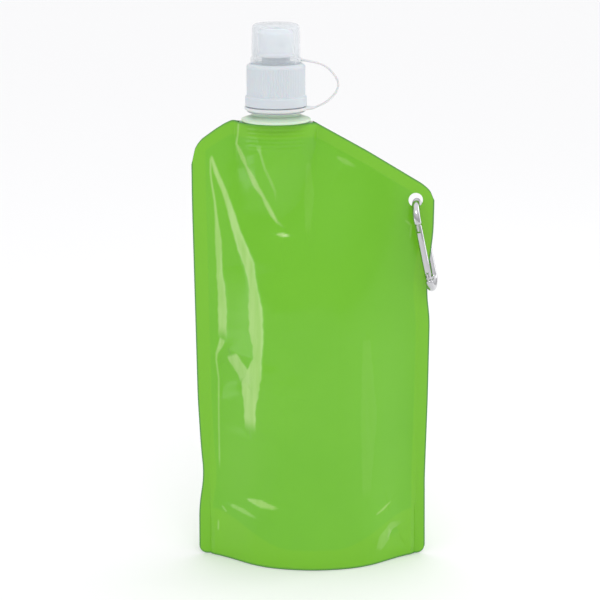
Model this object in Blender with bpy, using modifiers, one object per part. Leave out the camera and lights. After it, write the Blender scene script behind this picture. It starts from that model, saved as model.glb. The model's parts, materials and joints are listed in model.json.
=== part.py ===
"""Folding water bottle: a flat film pouch with a welded spout, a push-pull sports cap and a carabiner.

Frame: +Z up, front towards -Y, origin in the middle of the base. Lengths are in millimetres and are
turned into metres by MM.
"""
import math

import bmesh
import bpy
from mathutils import Matrix, Vector

MM = 0.001
GAP = 0.3                     # clearance between pieces that touch

# Pouch
WALL = 0.5                    # modelled film thickness
SEAL = 8.0                    # width of the welded side bands
HALF_WIDTH = 64.8
BASE_DEPTH = 24.6             # half depth of the opened base, less the room for the gusset
MID_BULGE = 4.5               # how far the panels swell past a straight run to the spout
HEM = 12.0                    # height of the weld between panels and gusset
CORNER = 4.6                  # radius of the bottom corners
BELLY_SPAN = 44.0             # distance from the side welds over which the belly rises
BELLY_EASE = 0.8
BASE_SPAN = 60.0              # height over which the base outline turns into the belly
RIM_SPAN = 95.0               # height below the top weld over which the panels close up
RIM_EASE = 2.2
BOAT_START = 165.0            # where the panels start to take the shape of the weld block
BOAT_SPAN = 58.0
ROOM = 1.4                    # extra half depth that makes way for the gusset near the corners
ROOM_EDGE = 57.5
ROOM_RUN = 3.5
ROOM_TOP = 46.0
ROOM_FADE = 10.0
LINING_GAP = 0.35             # clearance added between the panels and the gusset
GUSSET_CREST = 13.0           # height of the base fold in the middle
GUSSET_RISE = 17.0            # how much higher the fold runs at the sides
GUSSET_HALF = 53.5
LEG_SHARE = 0.62              # share of the crest's height at which the fold starts to turn
GUSSET_FOOT = 0.8
GUSSET_COLUMNS = 20
FOLD_STEPS = 8
BASE_EDGE = [(0, 24.6), (5, 24.5), (10, 23.9), (15, 23.1), (20, 22.0), (25, 20.4), (30, 18.1), (35, 15.1),
             (40, 11.1), (45, 7.2), (50, 3.6), (54, 1.2), (57, 0)]
TOP_EDGE = [(-64.8, 217), (-64.0, 225.5), (-62.6, 229.6), (-59.4, 233.8), (-51.9, 239.2), (-46.8, 242.4),
            (-42.5, 244.3), (-39.5, 243.2), (-37.5, 243.1), (-1.5, 243.1), (1.0, 242.9), (28.7, 227.6),
            (58.0, 210.0), (61.5, 207.2), (63.8, 204.0), (64.8, 199)]
SIDE_LEFT = [(0, 63.4), (28, 63.2), (46, 60.4), (62, 61.8), (90, 63.2), (145, 64.0), (200, 64.8),
             (250, 64.8)]
SIDE_RIGHT = [(0, 62.9), (45, 62.2), (90, 63.1), (134, 63.4), (140, 62.9), (147, 61.9), (158, 61.8),
              (168, 62.9), (184, 64.6), (200, 64.8), (250, 64.8)]
HOLE = (54.8, 201.0)          # carabiner hole through the top right corner
HOLE_RADIUS = 3.85
COLUMNS = 24
ROWS = 18

# Spout
SPOUT_X = -19.7
BOAT_HALF_LENGTH = 19.5
BOAT_HALF_DEPTH = 10.8
BOAT_BOTTOM = 228.0
BOAT_TOP = 243.9
BOAT_BORE = 9.2
BOAT_RIBS = 8
RIB_STEP = 0.7
BOAT_TIP = 0.9                # least half depth of the weld block towards its two tips
WRAP = 2.5                    # how much longer than the weld block the films' swell round it is
WRAP_DEPTH = 1.7              # how far outside the block the middle of the film runs
FLANGE_RADIUS = 18.4
FLANGE_BOTTOM = 243.7
NECK_RADIUS = 12.8
NECK_BORE = 10.6
NECK_TOP = 270.5
PITCH = 3.2                   # screw thread
THREAD_START = 254.5
THREAD_TURNS = 2.0
THREAD_HEIGHT = 0.7
THREAD_SINK = 0.8             # how far the ends of a thread run into the wall

# Cap
SKIRT_RADIUS = 15.5
SKIRT_BORE = 13.9
BEAD_RADIUS = 16.3
LIP_RADIUS = 15.3             # small lip that keeps the tether ring on
SKIRT_BOTTOM = 248.5
DECK = 274.0
DECK_UNDERSIDE = 271.9
TOWER_RADIUS = 7.4
TOWER_BORE = 6.0
TOWER_TOP = 284.5
PLUG_RADIUS = 2.5
PLUG_TOP = 289.0
PLUG_BOTTOM = 276.5
SPOKE = (5.0, 1.3, 2.4)
SPOKE_HEIGHT = 278.6
NOZZLE_RADIUS = 9.4
NOZZLE_TOP = 292.3
NOZZLE_HOLE = 2.9
DUST_RADIUS = 12.9
DUST_TOP = 294.8
DUST_BOTTOM = 274.4

# Tether
RING_RADIUS = 16.7
RING_BORE = 15.2
RING_TOP = 251.3
RING_BOTTOM = 249.3
LUG = (2.0, 2.6, 1.4)         # block on the dust cap that the strap joins
LUG_REACH = 13.9
LUG_HEIGHT = 275.7
TAB = ((16.0, 2.6, 0.9), (20.3, 0.9, 0.6))    # reach, half width and half height at the tab's two ends
TAB_HEIGHT = 250.4
STRAP_RADIUS = 0.65
STRAP_ROUTE = [(-4.6, 275.6), (-1.0, 275.1), (4.7, 274.0), (9.5, 270.9), (12.9, 266.0), (13.7, 262.4),
               (12.4, 258.8), (9.0, 255.1), (5.6, 252.8), (2.0, 251.2), (1.0, 250.8)]

# Carabiner
WIRE = 2.1
LOOP_RADIUS = 9.0             # half width of the wire's centre line, and radius of the top bend
BEND_DROP = 5.0               # height of the flatter bottom bend
LOOP_LENGTH = 47.3            # between the two bends' outermost centre lines
HANG = (55.1, 199.8)          # wire centre where it passes through the hole
HANG_YAW = 11.0
HANG_TILT = 11.8
NOSE = 9.6                    # where the hook ends, below the wire in the hole
LATCH = 12.8                  # latch pin
PIN = 39.2                    # gate rivet
HINGE_END = 42.0              # shoulder below the rivet
GATE_TOP = 10.1
GATE_RADIUS = 1.9
TONGUE = 1.2                  # thickness of the flat tongues at both ends of the hook
RIVET = 0.6
LATCH_PIN = 0.45
SPRING_BORE = 1.1
GATE_FOOT = -1.8              # the gate's lower end, from its rivet
PLUNGER_LENGTH = 2.4
COIL_RADIUS = 0.62
COIL_WIRE = 0.15
COIL_TURNS = 5
COIL_ENDS = (5.0, 12.0)       # from the rivet

SEGMENTS = 40                 # facets round a turned piece


def new_collection(name):
    group = bpy.data.collections.new(name)
    bpy.context.scene.collection.children.link(group)
    return group


def clear_scene():
    for obj in list(bpy.data.objects):
        bpy.data.objects.remove(obj, do_unlink=True)


def material(name, colour, roughness, metallic=0.0):
    mat = bpy.data.materials.new(name)
    mat.use_nodes = True
    shader = mat.node_tree.nodes["Principled BSDF"]
    shader.inputs["Base Color"].default_value = (*colour, 1.0)
    shader.inputs["Roughness"].default_value = roughness
    shader.inputs["Metallic"].default_value = metallic
    return mat


def add(name, mesh, mat, group):
    obj = bpy.data.objects.new(name, mesh)
    group.objects.link(obj)
    if mat:
        mesh.materials.clear()
        mesh.materials.append(mat)
    return obj


def interpolate(points, at):
    """Value of a polyline given as (position, value) pairs."""
    for (x0, y0), (x1, y1) in zip(points, points[1:]):
        if at <= x1:
            return y0 + (y1 - y0) * max(0.0, (at - x0) / (x1 - x0))
    return points[-1][1]


def smooth(t):
    t = min(1.0, max(0.0, t))
    return t * t * (3 - 2 * t)


def spread(u):
    """Moves evenly spaced places between -1 and 1 towards both ends."""
    return (math.sin(u * math.pi / 2) + u) / 2


def smooth_path(points, per_span):
    """Points along a Catmull-Rom curve through the given ones."""
    out = []
    ends = [points[0]] + list(points) + [points[-1]]
    for a, b, c, d in zip(ends, ends[1:], ends[2:], ends[3:]):
        for step in range(per_span):
            t = step / per_span
            out.append(0.5 * ((2 * b) + (c - a) * t + (2 * a - 5 * b + 4 * c - d) * t * t
                              + (3 * b - a - 3 * c + d) * t ** 3))
    out.append(points[-1])
    return out


def turned(name, profile, mat, group, steps=SEGMENTS):
    """A profile of (radius, height) turned about the spout axis, outer side first and downwards."""
    mesh = bpy.data.meshes.new(name)
    verts = [(r * MM, 0, z * MM) for r, z in profile]
    edges = [(i, i + 1) for i in range(len(verts) - 1)]
    if profile[0][0] > 0:
        edges.append((len(verts) - 1, 0))
    mesh.from_pydata(verts, edges, [])
    obj = add(name, mesh, mat, group)
    obj.location = (SPOUT_X * MM, 0, 0)
    screw = obj.modifiers.new("Screw", "SCREW")
    screw.steps = steps
    screw.render_steps = steps
    screw.use_merge_vertices = True
    screw.merge_threshold = 0.00002
    return obj


def as_mesh(obj):
    """The object with its modifiers or curve settings turned into a plain mesh."""
    graph = bpy.context.evaluated_depsgraph_get()
    mesh = bpy.data.meshes.new_from_object(obj.evaluated_get(graph))
    bm = bmesh.new()
    bm.from_mesh(mesh)
    bmesh.ops.remove_doubles(bm, verts=bm.verts, dist=0.00001)
    bmesh.ops.recalc_face_normals(bm, faces=bm.faces)
    bm.to_mesh(mesh)
    bm.free()
    name, group, matrix = obj.name, obj.users_collection[0], obj.matrix_world.copy()
    mats = [slot.material for slot in obj.material_slots]
    bpy.data.objects.remove(obj, do_unlink=True)
    solid = add(name, mesh, mats[0] if mats else None, group)
    solid.matrix_world = matrix
    return solid


def tube(name, points, radius, mat, group, resolution=2):
    """A round wire along points in millimetres."""
    curve = bpy.data.curves.new(name, "CURVE")
    curve.dimensions = "3D"
    curve.bevel_depth = radius * MM
    curve.bevel_resolution = resolution
    curve.use_fill_caps = True
    spline = curve.splines.new("POLY")
    spline.points.add(len(points) - 1)
    for point, place in zip(spline.points, points):
        point.co = (*(Vector(place) * MM), 1)
    obj = add(name, curve, None, group)
    curve.materials.append(mat)
    bpy.context.view_layer.update()
    return as_mesh(obj)


def box(name, size, place, mat, group):
    mesh = bpy.data.meshes.new(name)
    bm = bmesh.new()
    bmesh.ops.create_cube(bm, size=1)
    bmesh.ops.scale(bm, vec=Vector(size) * MM, verts=bm.verts)
    bm.to_mesh(mesh)
    bm.free()
    obj = add(name, mesh, mat, group)
    obj.location = Vector(place) * MM
    return obj


def rod(name, radius, length, place, mat, group, sides=24):
    """A plain round bar along Z, centred on place."""
    mesh = bpy.data.meshes.new(name)
    bm = bmesh.new()
    bmesh.ops.create_cone(bm, cap_ends=True, segments=sides, radius1=radius * MM, radius2=radius * MM,
                          depth=length * MM)
    bm.to_mesh(mesh)
    bm.free()
    obj = add(name, mesh, mat, group)
    obj.location = Vector(place) * MM
    return obj


def combine(target, tool, operation):
    """Joins the tool to the target, or cuts it away; the tool stays as a hidden cutter."""
    tool.hide_render = True
    tool.display_type = "WIRE"
    modifier = target.modifiers.new(tool.name, "BOOLEAN")
    modifier.operation = operation
    modifier.solver = "EXACT"
    modifier.object = tool


def helix(radius, start, turns, sink):
    """Centre line of a right-hand thread about the spout axis, whose ends sink into the wall."""
    count = int(turns * 20)
    points = []
    for i in range(count + 1):
        angle = 2 * math.pi * turns * i / count
        fade = min(1.0, i / 4, (count - i) / 4)
        reach = radius + sink * (1 - fade)
        points.append((SPOUT_X + reach * math.cos(angle), reach * math.sin(angle),
                       start + PITCH * angle / (2 * math.pi)))
    return points


def pointed_oval(x, half_length, half_depth):
    """Half depth of the weld boat at x from the spout axis."""
    return half_depth * max(0.0, 1 - (x / half_length) ** 2)


def half_depth(x, z):
    """Half depth of the pouch, measured to the middle of the film."""
    top = interpolate(TOP_EDGE, x) - SEAL
    side = (HALF_WIDTH - SEAL) - abs(x)
    if side <= 0:
        return WALL / 2 + GAP / 2
    across = smooth(side / BELLY_SPAN) ** BELLY_EASE
    height = max(0.0, z - HEM)
    share = height / (BOAT_BOTTOM - HEM)
    run = BASE_DEPTH + (BOAT_HALF_DEPTH - BASE_DEPTH) * min(1.0, share)
    swell = run + MID_BULGE * math.sin(math.pi * min(1.0, share))
    rim = 1 - (1 - min(1.0, max(0.0, (top - z) / RIM_SPAN))) ** RIM_EASE
    low = smooth(height / BASE_SPAN)
    body = (interpolate(BASE_EDGE, abs(x)) * (1 - low) + swell * across * low) * rim
    near = smooth((z - BOAT_START) / BOAT_SPAN)
    boat = pointed_oval(x - SPOUT_X, BOAT_HALF_LENGTH + WRAP, BOAT_HALF_DEPTH + WRAP_DEPTH) * near
    room = ROOM * smooth((ROOM_EDGE - abs(x)) / ROOM_RUN) * smooth((ROOM_TOP - z) / ROOM_FADE)
    return WALL / 2 + GAP / 2 + room + (body ** 3 + boat ** 3) ** (1 / 3)


def lining_depth(x, z):
    """Half depth of a film that lies just inside the panels."""
    here = half_depth(x, z)
    slope_x = (half_depth(x + 1, z) - half_depth(x - 1, z)) / 2
    slope_z = half_depth(x, z + 1) - here
    clear = (WALL + GAP + LINING_GAP) * math.sqrt(1 + slope_x ** 2 + slope_z ** 2)
    return max(WALL + GAP / 2 + 0.1, here - clear)


def bottom_edge(x, width):
    inset = abs(x) - (width - CORNER)
    if inset <= 0:
        return 0.0
    return CORNER - math.sqrt(max(0.0, CORNER ** 2 - inset ** 2))


def panel_grid(side):
    """Rows of points over a panel; side is -1 in front and 1 behind."""
    rows = []
    for row in range(ROWS + 1):
        v = row / ROWS
        line = []
        for column in range(COLUMNS + 1):
            u = spread(2 * column / COLUMNS - 1)
            guess = u * HALF_WIDTH
            for _ in range(3):
                low = bottom_edge(guess, interpolate(SIDE_LEFT if u < 0 else SIDE_RIGHT, 0))
                z = low + v * (interpolate(TOP_EDGE, guess) - low)
                limit = interpolate(SIDE_LEFT if u < 0 else SIDE_RIGHT, z)
                guess = u * limit
            line.append(Vector((guess, side * half_depth(guess, z), z)))
        rows.append(line)
    return rows


def sheet(name, rows, mat, group):
    """A film of WALL thickness over a grid of points, given bottom row first and running towards +X."""
    mesh = bpy.data.meshes.new(name)
    verts = [p * MM for line in rows for p in line]
    across = len(rows[0])
    faces = []
    for r in range(len(rows) - 1):
        for c in range(across - 1):
            i = r * across + c
            faces.append((i, i + 1, i + across + 1, i + across))
    mesh.from_pydata(verts, [], faces)
    obj = add(name, mesh, mat, group)
    thick = obj.modifiers.new("Film", "SOLIDIFY")
    thick.thickness = WALL * MM
    thick.offset = 0
    return obj


def make_panels(film, group, cutters):
    for name, side in (("front_panel", -1), ("back_panel", 1)):
        panel = sheet(name, panel_grid(side), film, group)
        punch = rod(f"{name}_punch", HOLE_RADIUS, 20, (0, 0, 0), None, cutters, 32)
        punch.rotation_euler = (math.pi / 2, 0, 0)
        punch.location = Vector((HOLE[0], 0, HOLE[1])) * MM
        combine(panel, punch, "DIFFERENCE")


def make_gusset(film, group):
    """The base fold: an inverted trough whose legs lie inside the panels' hems."""
    rows = []
    for i in range(GUSSET_COLUMNS + 1):
        x = GUSSET_HALF * spread(2 * i / GUSSET_COLUMNS - 1)
        crest = GUSSET_CREST + GUSSET_RISE * smooth(abs(x) / GUSSET_HALF) ** 1.5
        leg = crest * LEG_SHARE
        line = []
        for side in (-1, 1):
            heights = [GUSSET_FOOT, leg * 0.5, leg]
            for z in heights if side < 0 else reversed(heights):
                line.append(Vector((x, side * lining_depth(x, z), z)))
            if side < 0:
                reach = lining_depth(x, leg)
                for k in range(1, FOLD_STEPS):
                    angle = math.pi * (1 - k / FOLD_STEPS)
                    line.append(Vector((x, reach * math.cos(angle),
                                        leg + (crest - leg) * math.sin(angle) ** 0.8)))
        rows.append(line)
    return sheet("bottom_gusset", rows, film, group)


def make_boat(group):
    """The ribbed, pointed-oval block that the panels are welded to."""
    levels = []
    step = (BOAT_TOP - BOAT_BOTTOM) / (2 * BOAT_RIBS - 1)
    for i in range(2 * BOAT_RIBS - 1):
        z = BOAT_BOTTOM + i * step
        inset = 0.0 if i % 2 == 0 else RIB_STEP
        levels += [(z, inset), (z + step, inset)]
    xs = [BOAT_HALF_LENGTH * (i / 6 - 1) for i in range(12)]
    outline = [(x, -1) for x in xs] + [(-x, 1) for x in xs]
    bm = bmesh.new()
    loops = []
    for z, inset in levels:
        loop = []
        for x, side in outline:
            reach = max(BOAT_TIP, pointed_oval(x, BOAT_HALF_LENGTH, BOAT_HALF_DEPTH))
            x_in = x * (1 - inset / BOAT_HALF_LENGTH)
            y = side * (reach - min(inset, reach * 0.4))
            if abs(abs(x) - BOAT_HALF_LENGTH) < 0.01:
                y = 0
            loop.append(bm.verts.new(Vector((SPOUT_X + x_in, y, z)) * MM))
        loops.append(loop)
    for lower, upper in zip(loops, loops[1:]):
        for i in range(len(lower)):
            j = (i + 1) % len(lower)
            bm.faces.new((lower[i], lower[j], upper[j], upper[i]))
    bm.faces.new(list(reversed(loops[0])))
    bm.faces.new(loops[-1])
    mesh = bpy.data.meshes.new("boat")
    bm.to_mesh(mesh)
    bm.free()
    return add("boat", mesh, None, group)


def make_spout(mat, group, cutters):
    profile = [(NECK_RADIUS - 0.4, NECK_TOP), (NECK_RADIUS, NECK_TOP - 0.4), (NECK_RADIUS, 246.9),
               (14.0, 246.3), (17.8, 245.1), (FLANGE_RADIUS, 244.7), (FLANGE_RADIUS, 244.0),
               (FLANGE_RADIUS - 0.3, FLANGE_BOTTOM), (BOAT_BORE - 0.2, FLANGE_BOTTOM),
               (BOAT_BORE - 0.2, 244.8), (NECK_BORE, 246.2), (NECK_BORE, NECK_TOP)]
    spout = turned("spout_fitment", profile, mat, group)
    boat = make_boat(cutters)
    bore = rod("boat_bore", BOAT_BORE, 30, (SPOUT_X, 0, 236), None, cutters, SEGMENTS)
    combine(boat, bore, "DIFFERENCE")
    combine(spout, boat, "UNION")
    route = helix(NECK_RADIUS, THREAD_START, THREAD_TURNS, -THREAD_SINK)
    thread = tube("neck_thread", route, THREAD_HEIGHT, mat, cutters, 1)
    combine(spout, thread, "UNION")
    return spout


def make_closure(mat, group, cutters):
    profile = [(TOWER_RADIUS - 0.3, TOWER_TOP), (TOWER_RADIUS, TOWER_TOP - 0.4), (TOWER_RADIUS, DECK),
               (13.7, DECK), (15.1, 273.1), (SKIRT_RADIUS, 272.4), (SKIRT_RADIUS, 257.2),
               (BEAD_RADIUS - 0.2, 256.8), (BEAD_RADIUS, 256.3), (BEAD_RADIUS, 252.2),
               (BEAD_RADIUS - 0.3, 251.7), (14.9, 251.6), (14.9, 249.0), (LIP_RADIUS, 248.9),
               (LIP_RADIUS, 248.7), (15.0, SKIRT_BOTTOM), (SKIRT_BORE, SKIRT_BOTTOM),
               (SKIRT_BORE, DECK_UNDERSIDE), (TOWER_BORE, DECK_UNDERSIDE), (TOWER_BORE, TOWER_TOP)]
    closure = turned("closure_cap", profile, mat, group)
    route = helix(SKIRT_BORE, THREAD_START - PITCH / 2, THREAD_TURNS, THREAD_SINK)
    thread = tube("cap_thread", route, THREAD_HEIGHT + 0.05, mat, cutters, 1)
    combine(closure, thread, "UNION")
    plug = turned("plug", [(0, PLUG_TOP), (PLUG_RADIUS - 0.4, PLUG_TOP), (PLUG_RADIUS, PLUG_TOP - 0.6),
                           (PLUG_RADIUS, PLUG_BOTTOM), (0, PLUG_BOTTOM)], mat, cutters, 24)
    for i in range(3):
        spoke = box(f"spoke_{i}", SPOKE, (0, 0, 0), None, cutters)
        angle = math.radians(30 + 120 * i)
        middle = (PLUG_RADIUS + TOWER_BORE) / 2
        spoke.location = Vector((SPOUT_X + middle * math.cos(angle), middle * math.sin(angle),
                                 SPOKE_HEIGHT)) * MM
        spoke.rotation_euler = (0, 0, angle)
        combine(plug, spoke, "UNION")
    combine(closure, plug, "UNION")
    return closure


def make_cap_parts(plastic, clear, rubber, group, cutters):
    turned("seal_gasket", [(13.3, 271.55), (13.3, 270.8), (9.8, 270.8), (9.8, 271.55)], rubber, group)
    turned("nozzle", [(6.9, NOZZLE_TOP), (7.4, NOZZLE_TOP - 0.3), (9.2, 289.8), (NOZZLE_RADIUS, 289.0),
                      (NOZZLE_RADIUS, 279.6), (9.9, 279.0), (9.9, 277.6), (7.9, 277.4), (7.9, 290.6),
                      (NOZZLE_HOLE, 290.6), (NOZZLE_HOLE, NOZZLE_TOP)], plastic, group)
    dust = turned("dust_cap", [(0, DUST_TOP), (9.6, DUST_TOP), (11.2, 294.4), (12.2, 293.5), (12.5, 292.2),
                               (DUST_RADIUS, 277.2), (13.3, 276.8), (13.3, DUST_BOTTOM),
                               (11.9, DUST_BOTTOM), (11.6, 292.0), (11.1, 293.2), (9.8, 293.8),
                               (0, 293.8)], clear, group)
    lug = box("cap_lug", LUG, (SPOUT_X + LUG_REACH, 0, LUG_HEIGHT), None, cutters)
    combine(dust, lug, "UNION")
    ring = turned("tether_ring", [(RING_RADIUS - 0.3, RING_TOP), (RING_RADIUS, RING_TOP - 0.3),
                                  (RING_RADIUS, RING_BOTTOM + 0.7), (RING_RADIUS - 0.8, RING_BOTTOM),
                                  (RING_BORE, RING_BOTTOM), (RING_BORE, RING_TOP)], clear, group)
    tab = bpy.data.meshes.new("ring_tab")
    bm = bmesh.new()
    verts = []
    for r, width, height in TAB:
        for y, z in ((-width, -height), (width, -height), (width, height), (-width, height)):
            verts.append(bm.verts.new(Vector((SPOUT_X + r, y, TAB_HEIGHT + z)) * MM))
    bmesh.ops.convex_hull(bm, input=verts)
    bm.to_mesh(tab)
    bm.free()
    combine(ring, add("ring_tab", tab, None, cutters), "UNION")
    route = smooth_path([Vector((x, 0, z)) for x, z in STRAP_ROUTE], 3)
    tube("tether_strap", route, STRAP_RADIUS, clear, group, 2)


def loop_route():
    """Wire centre line from the nose over the top bend, down the back leg and round to the hinge end."""
    points = []
    for i in range(11):
        angle = math.pi * i / 10
        points.append((-LOOP_RADIUS * math.cos(angle), 0, -LOOP_RADIUS * (1 - math.sin(angle))))
    points.insert(0, (-LOOP_RADIUS, 0, -NOSE))
    for i in range(13):
        angle = math.pi * i / 12
        points.append((LOOP_RADIUS * math.cos(angle), 0, -LOOP_LENGTH + BEND_DROP * (1 - math.sin(angle))))
    points.append((-LOOP_RADIUS, 0, -HINGE_END))
    return points


def carabiner_frame():
    """Matrix whose X runs across the loop to its back leg, and whose Z runs up the loop."""
    yaw, tilt = math.radians(HANG_YAW), math.radians(HANG_TILT)
    up = Vector((-math.sin(tilt), 0, math.cos(tilt)))
    across = Vector((math.sin(yaw), math.cos(yaw), 0))
    across = (across - across.dot(up) * up).normalized()
    turn = Matrix((across, up.cross(across), up)).transposed().to_4x4()
    return Matrix.Translation(Vector((HANG[0], 0, HANG[1])) * MM) @ turn


def put(obj, frame):
    """Moves a piece made about the origin into a frame."""
    obj.matrix_world = frame @ Matrix.Translation(obj.location) @ obj.rotation_euler.to_matrix().to_4x4()
    return obj


def make_carabiner_body(steel, frame, group, cutters):
    body = put(tube("carabiner_body", loop_route(), WIRE, steel, group, 3), frame)
    front = -LOOP_RADIUS
    hinge = box("hinge_tongue", (3.2, TONGUE, 5.6), (front, 0, -(HINGE_END - 1.6)), None, cutters)
    nose = box("nose_tongue", (3.0, TONGUE, 5.2), (front, 0, -(NOSE + 1.9)), None, cutters)
    notch = box("nose_notch", (2.9, 3.0, 1.6), (front + 0.65, 0, -LATCH), None, cutters)
    rivet = rod("rivet_hole", RIVET + 0.2, 8, (front, 0, -PIN), None, cutters, 16)
    rivet.rotation_euler = (math.pi / 2, 0, 0)
    for tool, operation in ((hinge, "UNION"), (nose, "UNION"), (notch, "DIFFERENCE"),
                            (rivet, "DIFFERENCE")):
        combine(body, put(tool, frame), operation)


def make_gate(steel, frame, group, cutters):
    """A bored bar, forked at both ends, that turns on the rivet."""
    pivot = frame @ Matrix.Translation(Vector((-LOOP_RADIUS, 0, -PIN)) * MM)
    top = PIN - GATE_TOP
    gate = rod("carabiner_gate", GATE_RADIUS, top - GATE_FOOT, (0, 0, 0), steel, group, 20)
    gate.data.transform(Matrix.Translation(Vector((0, 0, (top + GATE_FOOT) / 2)) * MM))
    put(gate, pivot)
    fork = TONGUE + 2 * GAP
    slots = [box("fork_slot", (6, fork, 6.0), (0, 0, -0.4), None, cutters),
             box("latch_slot", (6, fork, 6.4), (0, 0, top - 1.4), None, cutters),
             rod("spring_bore", SPRING_BORE, 12, (0, 0, 7.0), None, cutters, 12)]
    for height, radius in ((0, RIVET), (PIN - LATCH, LATCH_PIN)):
        hole = rod("cross_hole", radius + 0.15, 8, (0, 0, height), None, cutters, 16)
        hole.rotation_euler = (math.pi / 2, 0, 0)
        slots.append(hole)
    for tool in slots:
        combine(gate, put(tool, pivot), "DIFFERENCE")
    rivet = rod("gate_rivet", RIVET, 2 * GATE_RADIUS, (0, 0, 0), steel, group, 16)
    latch = rod("latch_pin", LATCH_PIN, 2 * GATE_RADIUS - 0.6, (0, 0, PIN - LATCH), steel, group, 12)
    for pin in (rivet, latch):
        pin.rotation_euler = (math.pi / 2, 0, 0)
        put(pin, pivot)
    plunger = rod("gate_plunger", SPRING_BORE - GAP, PLUNGER_LENGTH, (0, 0, 3.2), steel, group, 12)
    put(plunger, pivot)
    low, high = COIL_ENDS
    count = 8 * COIL_TURNS
    coil = [(COIL_RADIUS * math.cos(k * math.pi / 4), COIL_RADIUS * math.sin(k * math.pi / 4),
             low + (high - low) * k / count) for k in range(count + 1)]
    put(tube("gate_spring", coil, COIL_WIRE, steel, group, 1), pivot)


def main():
    clear_scene()
    group = new_collection("folding_water_bottle")
    cutters = new_collection("cutters")
    cutters.hide_render = True
    film = material("green_film", (0.19, 0.53, 0.06), 0.3)
    plastic = material("cap_plastic", (0.86, 0.88, 0.9), 0.45)
    clear = material("clear_plastic", (0.9, 0.92, 0.94), 0.25)
    rubber = material("gasket_foam", (0.8, 0.8, 0.8), 0.8)
    steel = material("carabiner_metal", (0.7, 0.7, 0.72), 0.25, 1.0)
    make_panels(film, group, cutters)
    make_gusset(film, group)
    make_spout(plastic, group, cutters)
    make_closure(plastic, group, cutters)
    make_cap_parts(plastic, clear, rubber, group, cutters)
    frame = carabiner_frame()
    make_carabiner_body(steel, frame, group, cutters)
    make_gate(steel, frame, group, cutters)


main()
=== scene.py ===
import json
import math

import bmesh
import bpy
import numpy as np
from mathutils import Matrix, Vector, noise


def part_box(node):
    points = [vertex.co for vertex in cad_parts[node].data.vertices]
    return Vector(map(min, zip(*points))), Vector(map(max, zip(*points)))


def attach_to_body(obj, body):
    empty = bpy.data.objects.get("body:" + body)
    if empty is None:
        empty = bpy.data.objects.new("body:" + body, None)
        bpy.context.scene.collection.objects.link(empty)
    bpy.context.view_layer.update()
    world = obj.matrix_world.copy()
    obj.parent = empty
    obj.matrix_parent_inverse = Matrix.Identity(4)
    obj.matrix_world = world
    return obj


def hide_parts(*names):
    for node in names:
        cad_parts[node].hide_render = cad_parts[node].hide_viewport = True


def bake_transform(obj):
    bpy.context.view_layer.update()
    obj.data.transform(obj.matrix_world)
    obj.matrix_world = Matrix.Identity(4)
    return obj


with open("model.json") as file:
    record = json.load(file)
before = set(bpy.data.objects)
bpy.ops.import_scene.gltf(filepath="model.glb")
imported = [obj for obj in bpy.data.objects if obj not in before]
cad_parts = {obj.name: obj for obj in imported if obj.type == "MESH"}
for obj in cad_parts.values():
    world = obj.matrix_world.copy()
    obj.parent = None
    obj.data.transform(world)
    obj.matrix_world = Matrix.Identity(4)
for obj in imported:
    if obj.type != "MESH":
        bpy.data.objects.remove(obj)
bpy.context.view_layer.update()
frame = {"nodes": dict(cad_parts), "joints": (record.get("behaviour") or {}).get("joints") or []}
MM = 0.001

# ---------------------------------------------------------------- places read from the frame
spout_low, spout_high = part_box("spout_fitment")
closure_low, closure_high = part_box("closure_cap")
SPOUT_X = (spout_low[0] + spout_high[0]) / 2 / MM
AXIS = Vector((SPOUT_X, 0, 0)) * MM
NECK_TOP = spout_high[2] / MM
BOAT_BOTTOM = spout_low[2] / MM
DUST_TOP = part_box("dust_cap")[1][2] / MM
joints = {joint["name"]: joint for joint in frame["joints"]}

# ---------------------------------------------------------------- pouch shape, as in the CAD panels
SEAL = 8.0
HALF_WIDTH = 64.8
BASE_DEPTH = 24.6
MID_BULGE = 4.5
HEM = 12.0
CORNER = 4.6
BOAT_HALF_LENGTH = 19.5
BOAT_HALF_DEPTH = 10.8
BOAT_RIBS = 8
FILM = 0.22                   # film thickness
SEAM = 0.13                   # half distance between the middles of two welded films
TOP_EDGE = [(-64.8, 217), (-64.0, 225.5), (-62.6, 229.6), (-59.4, 233.8), (-51.9, 239.2), (-46.8, 242.4),
            (-42.5, 244.3), (-39.5, 243.2), (-37.5, 243.1), (-1.5, 243.1), (1.0, 242.9), (28.7, 227.6),
            (58.0, 210.0), (61.5, 207.2), (63.8, 204.0), (64.8, 199)]
SIDE_LEFT = [(0, 63.4), (28, 63.2), (46, 60.4), (62, 61.8), (90, 63.2), (145, 64.0), (200, 64.8), (250, 64.8)]
SIDE_RIGHT = [(0, 62.9), (45, 62.2), (90, 63.1), (134, 63.4), (140, 62.9), (147, 61.9), (158, 61.8),
              (168, 62.9), (184, 64.6), (200, 64.8), (250, 64.8)]
BASE_EDGE = [(0, 24.6), (5, 24.5), (10, 23.9), (15, 23.1), (20, 22.0), (25, 20.4), (30, 18.1), (35, 15.1),
             (40, 11.1), (45, 7.2), (50, 3.6), (54, 1.2), (57, 0)]
CORNER_HALF_WIDTHS = (63.4, 62.6)      # to the left and right bottom corners
BELLY_SPAN = 44.0                      # width over which the pouch fills out from each side weld
BELLY_EASE = 0.8
RIM_SPAN = 95.0                        # height over which it closes towards the top weld
RIM_EASE = 2.2
BASE_SPAN = 60.0                       # height over which the base's outline turns into the belly's
BOAT_START = 165.0
BOAT_SPAN = 58.0
ROOM = 1.4                             # extra depth that makes room for the gusset
ROOM_HALF_WIDTH = 57.5
ROOM_EASE = 3.5
ROOM_TOP = 52.0
ROOM_SPAN = 44.0
HOLE = (54.8, 201.0)
HOLE_RADIUS = 3.85


def smooth(t):
    t = np.clip(t, 0.0, 1.0)
    return t * t * (3 - 2 * t)


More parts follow.
